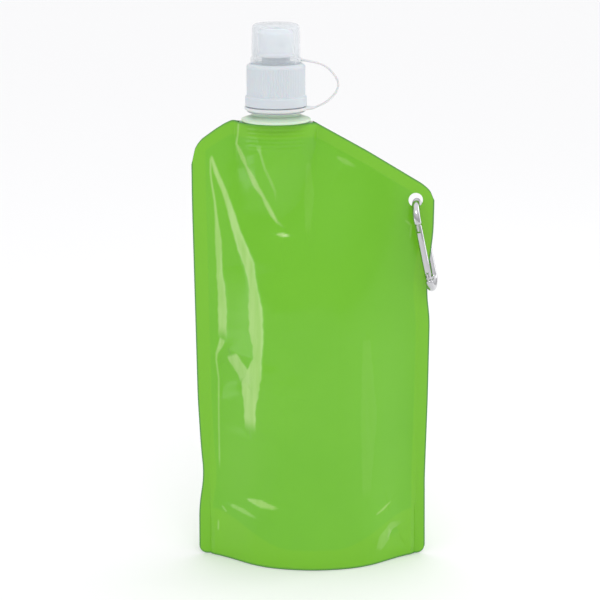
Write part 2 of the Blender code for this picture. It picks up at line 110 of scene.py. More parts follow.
def soft_outline(points, at, spread=1.6):
    """A polyline's value, averaged over a short stretch so that its corners are rounded."""
    xs, ys = zip(*points)
    taps = (-1.0, -0.5, 0.0, 0.5, 1.0)
    return sum(np.interp(at + tap * spread, xs, ys) for tap in taps) / len(taps)


def outline(points, at):
    xs, ys = zip(*points)
    return np.interp(at, xs, ys)


def boat_depth(x, half_length, half_depth):
    return half_depth * np.clip(1 - ((x - SPOUT_X) / half_length) ** 2, 0, None)


def half_depth(x, z):
    """Half depth of the pouch at the middle of the film, in millimetres."""
    top = outline(TOP_EDGE, x) - SEAL
    side = (HALF_WIDTH - SEAL) - np.abs(x)
    inside = (side > 0).astype(float)
    across = smooth(side / BELLY_SPAN) ** BELLY_EASE
    height = np.clip(z - HEM, 0, None)
    share = np.clip(height / (BOAT_BOTTOM - HEM), 0, 1)
    run = BASE_DEPTH + (BOAT_HALF_DEPTH - BASE_DEPTH) * share
    swell = run + MID_BULGE * np.sin(math.pi * share)
    rim = 1 - (1 - np.clip((top - z) / RIM_SPAN, 0, 1)) ** RIM_EASE
    low = smooth(height / BASE_SPAN)
    base = soft_outline(BASE_EDGE, np.abs(x), 3.0)
    body = (base * (1 - low) + swell * across * low) * rim
    near = smooth((z - BOAT_START) / BOAT_SPAN)
    boat = boat_depth(x, BOAT_HALF_LENGTH + 2.5, BOAT_HALF_DEPTH + 1.3) * near
    room = ROOM * smooth((ROOM_HALF_WIDTH - np.abs(x)) / ROOM_EASE) * smooth((ROOM_TOP - z) / ROOM_SPAN)
    return SEAM + inside * (room + (body ** 3 + boat ** 3) ** (1 / 3))


# ---------------------------------------------------------------- creases in the film
# Each crease is a band of film that is pulled flat: (x, z, half width) points from end to end, the slope
# across the band (positive where it faces left or down) and the strength of the painted highlight along it.
# The front's points were read off the photo by eye and turned into millimetres by a scratch script.
FRONT_CREASES = [
    ([(-54.2, 224.6, 0.5), (-51.6, 216.0, 1.2), (-47.3, 205.9, 1.3), (-44.0, 195.8, 1.8), (-41.1, 185.8, 2.2),
      (-37.5, 175.9, 2.8), (-34.2, 168.1, 3.1), (-33.3, 162.9, 2.3), (-32.3, 157.9, 2.2), (-31.4, 150.4, 3.0),
      (-30.7, 142.7, 3.8), (-30.5, 132.3, 3.8), (-29.7, 124.6, 2.9), (-29.9, 116.7, 2.3), (-31.9, 108.0, 4.2),
      (-33.8, 101.0, 4.9), (-34.2, 90.0, 3.3), (-34.0, 76.0, 2.8)], 0.42, 0.95),
    ([(-43.9, 116.6, 3.0), (-41.5, 112.8, 3.3), (-38.3, 108.6, 3.5), (-35.5, 103.0, 3.7)], 0.4, 0.85),
    ([(-54.5, 223.6, 0.5), (-54.7, 216.0, 0.4), (-54.2, 210.8, 0.4), (-52.6, 200.5, 0.5), (-51.7, 190.2, 0.8),
      (-50.9, 179.8, 1.8), (-50.4, 166.2, 1.6), (-50.3, 159.2, 1.7), (-49.6, 155.6, 2.0), (-49.0, 145.1, 2.4),
      (-49.0, 134.5, 2.4), (-49.1, 124.8, 2.3)], 0.4, 0.9),
    ([(-49.1, 124.8, 1.4), (-50.2, 121.4, 1.3), (-52.4, 116.3, 0.6), (-52.7, 112.5, 0.4), (-51.5, 101.8, 0.4),
      (-51.6, 80.0, 0.35), (-51.4, 50.0, 0.3)], 0.35, 0.75),
    ([(-39.4, 242.6, 0.3), (-39.8, 236.8, 0.35), (-40.6, 231.6, 0.5), (-39.4, 229.2, 0.9),
      (-37.2, 224.4, 1.2), (-35.5, 220.6, 0.6), (-32.4, 214.8, 1.4), (-30.0, 209.8, 1.3), (-26.6, 204.8, 0.8),
      (-24.2, 199.7, 1.1), (-21.5, 194.7, 1.0), (-19.2, 191.3, 0.6), (-15.5, 188.4, 0.3)], 0.5, 0.95),
    ([(-28.7, 231.2, 1.3), (-27.9, 228.0, 0.5), (-25.5, 220.0, 0.7), (-22.3, 212.9, 0.7), (-20.2, 207.7, 0.6),
      (-19.6, 201.4, 0.3)], 0.35, 0.35),
    ([(-19.4, 184.9, 0.3), (-16.0, 184.6, 0.9), (-12.6, 184.3, 0.3)], -0.5, 1.0),
    ([(-35.8, 36.8, 0.4), (-28.5, 35.9, 1.9), (-22.0, 34.9, 1.0), (-18.4, 34.6, 0.3)], -0.45, 0.8),
    ([(-45.0, 31.0, 0.8), (-38.5, 29.6, 1.2), (-31.0, 27.4, 0.5)], -0.35, 0.4),
    ([(-50.2, 29.3, 0.3), (-47.9, 26.8, 0.3)], 0.4, 0.8),
    ([(-52.4, 20.4, 0.3), (-52.5, 15.2, 0.3)], 0.4, 0.8),
    ([(35.0, 28.8, 0.3), (38.9, 31.0, 0.5), (43.0, 34.0, 0.3)], -0.5, 0.85),
    ([(36.5, 8.0, 1.5), (39.5, 14.0, 3.4), (44.0, 19.5, 2.6), (49.0, 20.5, 0.8)], 0.22, 0.3),
    ([(41.2, 13.0, 0.4), (42.6, 16.5, 0.9), (41.8, 19.0, 0.4)], 0.5, 0.55),
    ([(49.3, 190.1, 0.3), (52.6, 187.4, 0.5), (52.1, 180.0, 0.3)], 0.4, 0.4),
    ([(12.6, 224.4, 0.5), (17.0, 222.0, 1.3), (22.2, 219.2, 0.5)], -0.3, 0.3),
    ([(-2.6, 222.0, 1.0), (-2.2, 205.0, 2.6), (-3.0, 184.0, 1.2)], -0.1, 0.1),
    ([(28.5, 127.8, 2.0), (30.2, 85.0, 4.5), (29.1, 38.4, 2.0)], 0.14, 0.08),
]
BACK_CREASES = [
    ([(-38.7, 243.6, 0.4), (-40.5, 232.0, 1.0), (-33.0, 214.0, 1.6), (-22.0, 196.0, 0.6)], -0.4, 0.7),
    ([(-2.5, 240.0, 0.4), (4.0, 222.0, 1.2), (7.0, 200.0, 1.6), (3.0, 176.0, 0.6)], 0.4, 0.7),
    ([(44.0, 196.0, 0.8), (41.0, 170.0, 2.6), (36.0, 138.0, 3.4), (40.0, 104.0, 1.4)], -0.4, 0.85),
    ([(-50.0, 214.0, 0.5), (-46.0, 180.0, 1.6), (-50.0, 140.0, 2.0), (-47.0, 96.0, 0.6)], 0.4, 0.7),
    ([(20.0, 120.0, 0.6), (10.0, 96.0, 2.2), (14.0, 70.0, 0.8)], 0.3, 0.4),
    ([(-30.0, 60.0, 0.4), (-20.0, 50.0, 1.4), (-24.0, 34.0, 0.5)], 0.35, 0.5),
    ([(36.0, 40.0, 0.4), (46.0, 30.0, 0.9)], -0.4, 0.7),
    ([(50.0, 188.0, 0.3), (53.0, 178.0, 0.6)], 0.4, 0.5),
]


RAGGED = 0.07                 # share by which the edge of a crease's painted highlight wanders
SOFT_EDGE = 0.45              # half the width over which the painted highlight fades out
LONGEST_TAPER = 9.0
END_FADE = 9.0                # length over which a crease's relief rises at each end
END_REACH = 6.0               # how far the relief runs past the ends
REACH = 9.0                   # how far the film beside a crease leans, with REACH_SHARE of its half width
REACH_SHARE = 3.0


def crease_fields(x, z, creases):
    """How far the creases push the film outward, and how strong a painted highlight they carry, at each
    point.
    """
    shift, painted_highlight = np.zeros_like(x), np.zeros_like(x)
    for points, slope, highlight_amount in creases:
        best = np.full(x.shape, 1e9)
        side, along, half = np.zeros_like(x), np.zeros_like(x), np.ones_like(x)
        lengths = [math.dist(a[:2], b[:2]) for a, b in zip(points, points[1:])]
        total, run = sum(lengths), 0.0
        for (x0, z0, w0), (x1, z1, w1), length in zip(points, points[1:], lengths):
            dx, dz = (x1 - x0) / length, (z1 - z0) / length
            raw = (x - x0) * dx + (z - z0) * dz
            t = np.clip(raw, 0, length)
            away = np.hypot(x - x0 - dx * t, z - z0 - dz * t)
            nearer = away < best
            best = np.where(nearer, away, best)
            side = np.where(nearer, np.sign((z - z0) * dx - (x - x0) * dz), side)
            along = np.where(nearer, run + raw, along)
            half = np.where(nearer, w0 + (w1 - w0) * t / length, half)
            run += length
        ragged = half * (1 + RAGGED * np.sin(along * 0.7) * np.sin(along * 0.31 + 1))
        taper = min(LONGEST_TAPER, 0.3 * total)
        ends = smooth((along + 1.0) / 2.0) * smooth((total - along + 1.0) / taper)
        fade = smooth((along + END_REACH) / END_FADE) * smooth((total - along + END_REACH) / END_FADE)
        across = side * best / half
        ramp = across / (1 + np.abs(across) ** 4) ** 0.25
        reach = REACH + REACH_SHARE * half
        shift += fade * slope * half * ramp * np.exp(-((best / reach) ** 2))
        # Painted highlight mask: full across each crease's band, fading at its ends and its ragged edges.
        painted_highlight = np.maximum(painted_highlight, highlight_amount * ends * smooth((ragged - best + SOFT_EDGE) / (2 * SOFT_EDGE)))
    return shift, painted_highlight


def undulation(x, z, seed):
    """Slow, uneven swell of limp film, seeded so that it is the same each time."""
    out = np.zeros_like(x)
    flat_x, flat_z, flat_out = x.ravel(), z.ravel(), out.ravel()
    for i in range(flat_x.size):
        here = Vector((flat_x[i] / 38.0, flat_z[i] / 62.0, seed))
        flat_out[i] = noise.noise(here) * 0.55 + noise.noise(here * 3.1) * 0.1
    return out


RIBS_TOP = 243.9
RIBS_BOTTOM = 229.0           # the film lies on the ribs from here up
RIB_RELIEF = 0.13


def boat_ribs(x, z):
    """The weld block's ribs, pressed into the film around it."""
    pitch = 2 * (RIBS_TOP - BOAT_BOTTOM) / (2 * BOAT_RIBS - 1)
    mask = smooth((17.0 - np.abs(x - SPOUT_X)) / 5.0)
    mask = mask * smooth((z - RIBS_BOTTOM) / 1.5) * smooth((242.3 - z) / 1.0)
    return RIB_RELIEF * mask * np.cos(2 * math.pi * (z - BOAT_BOTTOM) / pitch)


# ---------------------------------------------------------------- mesh helpers
def link(name, mesh):
    obj = bpy.data.objects.new(name, mesh)
    bpy.context.scene.collection.objects.link(obj)
    return obj


def link_bmesh(name, bm, mat=None):
    """Turns a bmesh into an object of the scene, and frees it."""
    mesh = bpy.data.meshes.new(name)
    bm.to_mesh(mesh)
    bm.free()
    if mat:
        mesh.materials.append(mat)
    return link(name, mesh)


def skin(name, rings, mat):
    """A surface through rings of points in millimetres, closed by a face at each end."""
    bm = bmesh.new()
    loops = [[bm.verts.new(Vector(point) * MM) for point in ring] for ring in rings]
    for first, second in zip(loops, loops[1:]):
        for k in range(len(first)):
            m = (k + 1) % len(first)
            bm.faces.new((first[k], first[m], second[m], second[k]))
    bm.faces.new(list(reversed(loops[0])))
    bm.faces.new(loops[-1])
    bmesh.ops.recalc_face_normals(bm, faces=bm.faces)
    return link_bmesh(name, bm, mat)


def turns(count):
    """Angles evenly round a circle."""
    return [2 * math.pi * k / count for k in range(count)]


def smooth_shade(mesh, angle=35):
    mesh.shade_smooth()
    mesh.set_sharp_from_angle(angle=math.radians(angle))


def grid_mesh(name, points):
    """A sheet through a grid of points in millimetres, rows first."""
    rows, columns = points.shape[:2]
    index = np.arange(rows * columns).reshape(rows, columns)
    faces = np.stack([index[:-1, :-1], index[:-1, 1:], index[1:, 1:], index[1:, :-1]], axis=-1)
    mesh = bpy.data.meshes.new(name)
    mesh.from_pydata((points.reshape(-1, 3) * MM).tolist(), [], faces.reshape(-1, 4).tolist())
    return mesh


def bake_modifiers(obj):
    """Applies an object's modifiers to its mesh."""
    graph = bpy.context.evaluated_depsgraph_get()
    mesh = bpy.data.meshes.new_from_object(obj.evaluated_get(graph))
    mats = list(obj.data.materials)
    obj.modifiers.clear()
    obj.data = mesh
    mesh.materials.clear()
    for mat in mats:
        mesh.materials.append(mat)
    return obj


def paint(obj, name, values):
    """Stores one number at each vertex for the material to read."""
    layer = obj.data.attributes.new(name, "FLOAT", "POINT")
    layer.data.foreach_set("value", np.asarray(values, dtype=np.float32))


def solidify(obj, thickness):
    thick = obj.modifiers.new("Thickness", "SOLIDIFY")
    thick.thickness = thickness * MM
    thick.offset = 0
    return thick


# ---------------------------------------------------------------- material helpers
def shader_of(mat):
    return mat.node_tree.nodes["Principled BSDF"]


def new_material(name, colour, roughness, **sockets):
    mat = bpy.data.materials.new(name)
    mat.use_nodes = True
    shader = shader_of(mat)
    shader.inputs["Base Color"].default_value = (*colour, 1)
    shader.inputs["Roughness"].default_value = roughness
    for socket, value in sockets.items():
        shader.inputs[socket.replace("_", " ")].default_value = value
    return mat


def node(mat, kind, **settings):
    made = mat.node_tree.nodes.new(kind)
    for key, value in settings.items():
        setattr(made, key, value)
    return made


def noise_node(mat, scale, detail=3.0, stretch=(1, 1, 1)):
    """Noise in the object's own coordinates, stretched along the axes."""
    links = mat.node_tree.links
    coords = node(mat, "ShaderNodeTexCoord")
    mapping = node(mat, "ShaderNodeMapping")
    mapping.inputs["Scale"].default_value = stretch
    texture = node(mat, "ShaderNodeTexNoise")
    texture.inputs["Scale"].default_value = scale
    texture.inputs["Detail"].default_value = detail
    links.new(coords.outputs["Object"], mapping.inputs["Vector"])
    links.new(mapping.outputs["Vector"], texture.inputs["Vector"])
    return texture.outputs["Fac"]


def ramp(mat, source, stops):
    made = node(mat, "ShaderNodeValToRGB")
    elements = made.color_ramp.elements
    while len(elements) < len(stops):
        elements.new(0.5)
    for element, (place, colour) in zip(elements, stops):
        element.position = place
        element.color = (*colour, 1)
    mat.node_tree.links.new(source, made.inputs["Fac"])
    return made.outputs["Color"]


def vary(mat, socket, source, low, high):
    """Drives a number socket from a 0 to 1 source."""
    spread = node(mat, "ShaderNodeMapRange")
    spread.inputs["To Min"].default_value = low
    spread.inputs["To Max"].default_value = high
    mat.node_tree.links.new(source, spread.inputs["Value"])
    mat.node_tree.links.new(spread.outputs["Result"], shader_of(mat).inputs[socket])


def bump(mat, sources, strength, distance):
    """Adds a bump from one or more height sources, given as (source, share)."""
    links = mat.node_tree.links
    total = None
    for source, share in sources:
        scaled = node(mat, "ShaderNodeMath", operation="MULTIPLY")
        scaled.inputs[1].default_value = share
        links.new(source, scaled.inputs[0])
        if total is None:
            total = scaled.outputs[0]
        else:
            joined = node(mat, "ShaderNodeMath", operation="ADD")
            links.new(total, joined.inputs[0])
            links.new(scaled.outputs[0], joined.inputs[1])
            total = joined.outputs[0]
    made = node(mat, "ShaderNodeBump")
    made.inputs["Strength"].default_value = strength
    made.inputs["Distance"].default_value = distance
    links.new(total, made.inputs["Height"])
    links.new(made.outputs["Normal"], shader_of(mat).inputs["Normal"])


def mix_colour(mat, factor, first, second):
    made = node(mat, "ShaderNodeMix", data_type="RGBA")
    links = mat.node_tree.links
    links.new(factor, made.inputs["Factor"])
    for socket, value in ((made.inputs[6], first), (made.inputs[7], second)):
        if isinstance(value, tuple):
            socket.default_value = (*value, 1)
        else:
            links.new(value, socket)
    return made.outputs[2]


# ---------------------------------------------------------------- materials
def film_material():
    """Glossy green film: slightly uneven ink, paler welds, painted highlights along the creases, painted
    shade along the cut edges.
    """
    mat = new_material("green_film", (0.16, 0.5, 0.018), 0.16, IOR=1.46)
    links = mat.node_tree.links
    clouds = noise_node(mat, 22, 4)
    ink = ramp(mat, clouds, [(0.3, (0.153, 0.488, 0.016)), (0.7, (0.167, 0.508, 0.02))])
    weld = node(mat, "ShaderNodeAttribute", attribute_name="weld")
    edge = node(mat, "ShaderNodeAttribute", attribute_name="edge")
    painted_highlight = node(mat, "ShaderNodeAttribute", attribute_name="painted_highlight")
    # Painted highlight: the creases are mixed towards this pale green, which stands in for the light their
    # slopes catch.
    highlight_streaks = noise_node(mat, 260, 3, (1.0, 1.0, 0.12))
    painted_highlight_colour = ramp(mat, highlight_streaks, [(0.3, (0.33, 0.62, 0.13)), (0.7, (0.42, 0.68, 0.2))])
    welded = mix_colour(mat, weld.outputs["Fac"], ink, (0.182, 0.515, 0.016))
    highlighted_film = mix_colour(mat, painted_highlight.outputs["Fac"], welded, painted_highlight_colour)
    # Painted shade: the film turns dark green within about a millimetre of its cut outline, standing in for
    # the dark rim that light gives the film's edge.
    final = mix_colour(mat, edge.outputs["Fac"], highlighted_film, (0.07, 0.25, 0.05))
    links.new(final, shader_of(mat).inputs["Base Color"])
    vary(mat, "Roughness", clouds, 0.12, 0.2)
    fine = noise_node(mat, 900, 2)
    drawn = noise_node(mat, 120, 3, (1.0, 1.0, 0.25))
    bump(mat, [(fine, 0.2), (drawn, 1.0)], 0.08, 0.0003)
    return mat


def moulded(name, colour, roughness, frost=0.0, **sockets):
    """Moulded plastic or foam with a faint flow texture."""
    mat = new_material(name, colour, roughness, IOR=1.51, **sockets)
    flow = noise_node(mat, 160, 3, (1, 1, 0.3))
    vary(mat, "Roughness", flow, max(0.02, roughness - 0.05), roughness + 0.07)
    bump(mat, [(flow, 1.0), (noise_node(mat, 1400, 2), frost)], 0.08, 0.0003)
    return mat


def clear_plastic():
    """Slightly frosted clear polypropylene, denser where it is seen edge-on."""
    mat = moulded("clear_cover", (0.76, 0.795, 0.825), 0.14, 0.1)
    grazing = node(mat, "ShaderNodeLayerWeight")
    grazing.inputs["Blend"].default_value = 0.35
    vary(mat, "Alpha", grazing.outputs["Facing"], 0.16, 0.6)
    return mat


def metal(name, colour, roughness, grain):
    """Metal with fine drawn scratches."""
    mat = new_material(name, colour, roughness, Metallic=1.0)
    scratches = noise_node(mat, grain, 4, (1, 1, 0.12))
    vary(mat, "Roughness", scratches, roughness * 0.7, roughness * 1.6)
    bump(mat, [(scratches, 1.0)], 0.06, 0.0002)
    return mat


FILM_MAT = film_material()
CAP_MAT = moulded("milky_cap", (0.63, 0.675, 0.715), 0.36, 0.4, Subsurface_Weight=0.2, Subsurface_Scale=0.003)
SPOUT_MAT = moulded("natural_spout", (0.62, 0.77, 0.6), 0.3, 0.2, Subsurface_Weight=0.25,
                    Subsurface_Scale=0.003)
NOZZLE_MAT = moulded("milky_nozzle", (0.93, 0.95, 0.99), 0.3, 0.2, Subsurface_Weight=0.2,
                     Subsurface_Scale=0.003)
CLEAR_MAT = clear_plastic()
TETHER_MAT = moulded("natural_tether", (0.7, 0.72, 0.73), 0.34, 0.3, Subsurface_Weight=0.2,
                     Subsurface_Scale=0.003)
FOAM_MAT = moulded("foam_washer", (0.78, 0.78, 0.75), 0.75, 1.0)
CHROME_MAT = metal("polished_carabiner", (0.54, 0.54, 0.555), 0.08, 500)
STEEL_MAT = metal("bright_steel", (0.6, 0.6, 0.61), 0.25, 700)


# ---------------------------------------------------------------- film pouch
GRIDS = {-1: (280, 350), 1: (170, 230)}      # columns and rows of the front and back panels


def panel_points(side, creases, seed):
    """A fine grid over one panel, in millimetres, with the distance to the cut edge at each point."""
    columns, rows = GRIDS[side]
    u = np.linspace(-1, 1, columns + 1)
    u = np.sin(u * math.pi / 2) * 0.3 + u * 0.7
    v = np.linspace(0, 1, rows + 1)
    uu, vv = np.meshgrid(u, v)
    x = uu * HALF_WIDTH
    left = uu < 0
    for _ in range(4):
        width = np.where(left, *CORNER_HALF_WIDTHS)
        inset = np.clip(np.abs(x) - (width - CORNER), 0, CORNER)
        low = CORNER - np.sqrt(np.clip(CORNER ** 2 - inset ** 2, 0, None))
        top = soft_outline(TOP_EDGE, x, 1.2)
        z = low + vv * (top - low)
        limit = np.where(left, soft_outline(SIDE_LEFT, z, 6), soft_outline(SIDE_RIGHT, z, 4))
        x = uu * limit
    cut = np.minimum(np.minimum(limit - np.abs(x), top - z), z - low)
    room = smooth((cut - 1.0) / 7.0) * smooth((z - 2.0) / 12.0)
    depth = half_depth(x, z)
    loose = smooth((depth - SEAM) / 3.0)
    shift, painted_highlight = crease_fields(x, z, creases)
    swell = room * loose * (shift + undulation(x, z, seed))
    swell += boat_ribs(x, z) * smooth((cut - 0.5) / 2)
    depth = np.maximum(depth + swell, SEAM)
    points = np.stack([x, side * depth, z], axis=-1)
    return points, cut, x, z, painted_highlight


def make_panel(name, side, creases, seed):
    fields = panel_points(side, creases, seed)
    if side > 0:
        fields = [field[:, ::-1] for field in fields]
    points, cut, x, z, painted_highlight = fields
    obj = link(name, grid_mesh(name, points))
    arch = HEM + 16 * smooth((np.abs(x) - 12) / 44)
    weld = np.maximum(smooth((SEAL - cut) / 0.8), smooth((arch - z) / 1.2))
    paint(obj, "weld", weld.ravel())
    # Painted shade: nearness to the cut outline, which darkens the film there.
    paint(obj, "edge", smooth((1.0 - cut) / 0.7).ravel())
    # Painted highlight: how strongly each point carries the pale crease streaks.
    paint(obj, "painted_highlight", painted_highlight.ravel())
    obj.data.materials.append(FILM_MAT)
    solidify(obj, FILM)
    punch = punch_hole()
    cut_out = obj.modifiers.new("Hole", "BOOLEAN")
    cut_out.operation = "DIFFERENCE"
    cut_out.solver = "EXACT"
    cut_out.object = punch
    bpy.context.view_layer.update()
    bake_modifiers(obj)
    bpy.data.objects.remove(punch, do_unlink=True)
    smooth_shade(obj.data, 50)
    return obj


def punch_hole():
    bm = bmesh.new()
    bmesh.ops.create_cone(bm, cap_ends=True, segments=72, radius1=HOLE_RADIUS * MM,
                          radius2=HOLE_RADIUS * MM, depth=0.02)
    punch = link_bmesh("punch", bm)
    punch.rotation_euler = (math.pi / 2, 0, 0)
    punch.location = (HOLE[0] * MM, 0, HOLE[1] * MM)
    return punch


GUSSET_HALF_LENGTH = 53.5
CREST = 13.0                  # height of the fold's crest in the middle of the base
CREST_RISE = 17.0             # how much higher it stands at the corners
LEG_SHARE = 0.62              # the share of the crest's height where the fold starts to turn
FOLD_SHARE = 0.6              # the share of the sheet that makes the turn
LINING_GAP = 0.45             # from the middle of the panel to the middle of the gusset
LEAST_DEPTH = 0.35
GUSSET_WAVE = 0.35


def make_gusset(name, side):
    """Half of the base fold, from the crest in the middle to one panel's hem."""
    count, steps = 150, 40
    u = np.linspace(-1, 1, count + 1)
    x_line = GUSSET_HALF_LENGTH * (np.sin(u * math.pi / 2) * 0.5 + u * 0.5)
    t = np.linspace(0, 1, steps + 1)
    x, t = np.meshgrid(x_line, t)
    crest = CREST + CREST_RISE * smooth(np.abs(x) / GUSSET_HALF_LENGTH) ** 1.5
    leg = crest * LEG_SHARE
    fold = t < FOLD_SHARE
    angle = (math.pi / 2) * (1 - t / FOLD_SHARE)
    z_leg = leg - (leg - 0.5) * (t - FOLD_SHARE) / (1 - FOLD_SHARE)
    z_fold = leg + (crest - leg) * np.sin(np.clip(angle, 0, math.pi / 2)) ** 0.8
    z = np.where(fold, z_fold, z_leg)
    lining_leg = np.maximum(half_depth(x, z_leg) - LINING_GAP, LEAST_DEPTH)
    lining_top = np.maximum(half_depth(x, leg) - LINING_GAP, LEAST_DEPTH)
    y = np.where(fold, lining_top * np.cos(np.clip(angle, 0, math.pi / 2)), lining_leg)
    wave = GUSSET_WAVE * np.sin(x / 5.5 + 1.3 * side) * smooth(1 - t) * smooth(t * 4) * smooth(y / 4)
    points = np.stack([x, side * y, z + wave], axis=-1)
    if side < 0:
        points = points[:, ::-1]
    obj = link(name, grid_mesh(name, points))
    paint(obj, "weld", smooth((t - 0.62) / 0.1).ravel())
    paint(obj, "edge", np.zeros(t.size))
    paint(obj, "painted_highlight", np.zeros(t.size))
    obj.data.materials.append(FILM_MAT)
    solidify(obj, FILM)
    bake_modifiers(obj)
    smooth_shade(obj.data, 50)
    return obj


# ---------------------------------------------------------------- turned pieces
def rounded(profile, radius, closed):
    """Rounds a profile's corners; a corner takes no more than a third of its shorter side."""
    out = []
    count = len(profile)
    steps = 4
    for i, corner in enumerate(profile):
        if not closed and i in (0, count - 1):
            out.append(corner)
            continue
        here = Vector(corner)
        before, after = Vector(profile[i - 1]), Vector(profile[(i + 1) % count])
        reach = min(radius, (before - here).length / 3, (after - here).length / 3)
        a = here + (before - here).normalized() * reach
        b = here + (after - here).normalized() * reach
        for k in range(steps + 1):
            t = k / steps
            point = a * (1 - t) ** 2 + here * 2 * t * (1 - t) + b * t ** 2
            out.append((point.x, point.y))
    return out


def divided(profile, longest, closed):
    """Splits a profile's long stretches."""
    out = []
    pairs = list(zip(profile, profile[1:] + profile[:1])) if closed else list(zip(profile, profile[1:]))
    for a, b in pairs:
        parts = max(1, int(math.dist(a, b) / longest))
        for k in range(parts):
            t = k / parts
            out.append((a[0] + (b[0] - a[0]) * t, a[1] + (b[1] - a[1]) * t))
    if not closed:
        out.append(profile[-1])
    return out


def lathe(name, profile, mat, segments=144, radius=0.25, relief=None, longest=None):
    """A profile of (radius, height) in millimetres turned about the spout axis.

    The outer side runs downwards. relief(r, z, angle) gives a change of radius.
    """
    closed = profile[0][0] > 0
    line = rounded(profile, radius, closed)
    if longest:
        line = divided(line, longest, closed)
    r = np.array([p[0] for p in line])
    z = np.array([p[1] for p in line])
    angle = np.linspace(0, 2 * math.pi, segments, endpoint=False)
    rr, aa = np.meshgrid(r, angle, indexing="ij")
    zz = np.repeat(z[:, None], segments, axis=1)
    if relief:
        rr = rr + relief(rr, zz, aa)
    verts = np.stack([SPOUT_X + rr * np.cos(aa), rr * np.sin(aa), zz], axis=-1).reshape(-1, 3) * MM
    rows = len(line)
    faces = []
    for i in range(rows if closed else rows - 1):
        j = (i + 1) % rows
        for k in range(segments):
            m = (k + 1) % segments
            faces.append((i * segments + k, j * segments + k, j * segments + m, i * segments + m))
    mesh = bpy.data.meshes.new(name)
    mesh.from_pydata(verts.tolist(), [], faces)
    bm = bmesh.new()
    bm.from_mesh(mesh)
    bmesh.ops.remove_doubles(bm, verts=bm.verts, dist=0.000001)
    bmesh.ops.recalc_face_normals(bm, faces=bm.faces)
    bm.to_mesh(mesh)
    bm.free()
    mesh.materials.append(mat)
    smooth_shade(mesh)
    return link(name, mesh)


PITCH = 3.2
THREAD_START = 254.5
THREAD_TURNS = 2.0
THREAD_HALF_WIDTH = 0.75
THREAD_FADE = 0.12            # turns over which the thread runs in and out
SAME_WALL = 0.02              # how near a radius counts as the wall that carries the relief
CAP_WALL = 15.5
CAP_RIBS = 72
CAP_RIB_RELIEF = 0.22
NOZZLE_WALL = 9.4


def thread_relief(base, start, height):
    """Relief of a right-hand thread that stands height out of a wall of radius base."""
    def relief(r, z, angle):
        on_wall = np.abs(r - base) < SAME_WALL
        turn = (z - start) / PITCH - angle / (2 * math.pi)
        off = turn - np.round(turn)
        ridge = np.clip(1 - (np.abs(off) * PITCH / THREAD_HALF_WIDTH) ** 2, 0, 1) ** 0.6
        whole = np.round(turn) + angle / (2 * math.pi)
        fade = smooth(whole / THREAD_FADE) * smooth((THREAD_TURNS - whole) / THREAD_FADE)
        return np.where(on_wall, height * ridge * fade, 0)
    return relief


def make_spout():
    profile = [(12.5, NECK_TOP), (12.8, NECK_TOP - 0.4), (12.8, 246.9), (14.0, 246.3), (17.8, 245.1),
               (18.4, 244.7), (18.4, 244.0), (18.1, 243.7), (9.0, 243.7), (9.0, 244.8),
               (10.6, 246.2), (10.6, NECK_TOP)]
    relief = thread_relief(12.8, THREAD_START, 0.7)
    return lathe("spout_neck", profile, SPOUT_MAT, relief=relief, longest=0.3)


def make_weld_block():
    """Pointed-oval block with ribs all round, open through the middle."""
    count = 96
    top = 243.6
    step = (top - BOAT_BOTTOM) / (2 * BOAT_RIBS - 1)
    levels = []
    for i in range(2 * BOAT_RIBS - 1):
        inset = 0.0 if i % 2 == 0 else 0.8
        z = BOAT_BOTTOM + i * step
        levels += [(z + 0.15, inset), (z + step - 0.15, inset)]
    angle = np.linspace(0, 2 * math.pi, count, endpoint=False)
    x = BOAT_HALF_LENGTH * np.cos(angle)
    y = np.sign(np.sin(angle)) * np.maximum(BOAT_HALF_DEPTH * np.clip(1 - (x / BOAT_HALF_LENGTH) ** 2, 0, 1),
                                            0.6 * np.abs(np.sin(angle)))
    rings = [np.stack([SPOUT_X + x * (1 - inset / BOAT_HALF_LENGTH), y * (1 - inset / BOAT_HALF_DEPTH),
                       np.full(count, z)], axis=-1) for z, inset in levels]
    bore = np.stack([SPOUT_X + 9.2 * np.cos(angle), 9.2 * np.sin(angle)], axis=-1)
    for z in (top, BOAT_BOTTOM):
        rings.append(np.concatenate([bore, np.full((count, 1), z)], axis=1))
    faces = []
    for i in range(len(rings)):
        j = (i + 1) % len(rings)
        for k in range(count):
            m = (k + 1) % count
            faces.append((i * count + k, i * count + m, j * count + m, j * count + k))
    mesh = bpy.data.meshes.new("weld_block")
    mesh.from_pydata((np.concatenate(rings) * MM).tolist(), [], faces)
    mesh.materials.append(SPOUT_MAT)
    smooth_shade(mesh, 30)
    return link("weld_block", mesh)


def make_closure():
    profile = [(7.1, 284.5), (7.4, 284.1), (7.4, 274.0), (13.7, 274.0), (15.1, 273.1), (15.5, 272.4),
               (15.5, 257.2), (16.1, 256.8), (16.3, 256.3), (16.3, 252.2), (16.0, 251.7), (14.9, 251.6),
               (14.9, 249.0), (15.3, 248.9), (15.3, 248.7), (15.0, 248.5), (13.9, 248.5), (13.9, 271.9),
               (6.0, 271.9), (6.0, 284.5)]
    thread = thread_relief(13.9, THREAD_START - PITCH / 2, -0.75)

    def relief(r, z, angle):
        on_wall = np.abs(r - CAP_WALL) < SAME_WALL
        ribbed = on_wall * smooth((z - 257.4) / 0.5) * smooth((271.9 - z) / 0.8)
        ribs = CAP_RIB_RELIEF * (0.5 + 0.5 * np.cos(CAP_RIBS * angle)) ** 1.5
        return thread(r, z, angle) - ribbed * ribs
    closure = lathe("screw_cap", profile, CAP_MAT, segments=540, relief=relief, longest=0.5)
    plug_profile = [(0, 289.0), (2.1, 289.0), (2.5, 288.4), (2.5, 276.5), (0, 276.5)]
    plug = lathe("centre_plug", plug_profile, CAP_MAT, 64)
    return closure, plug


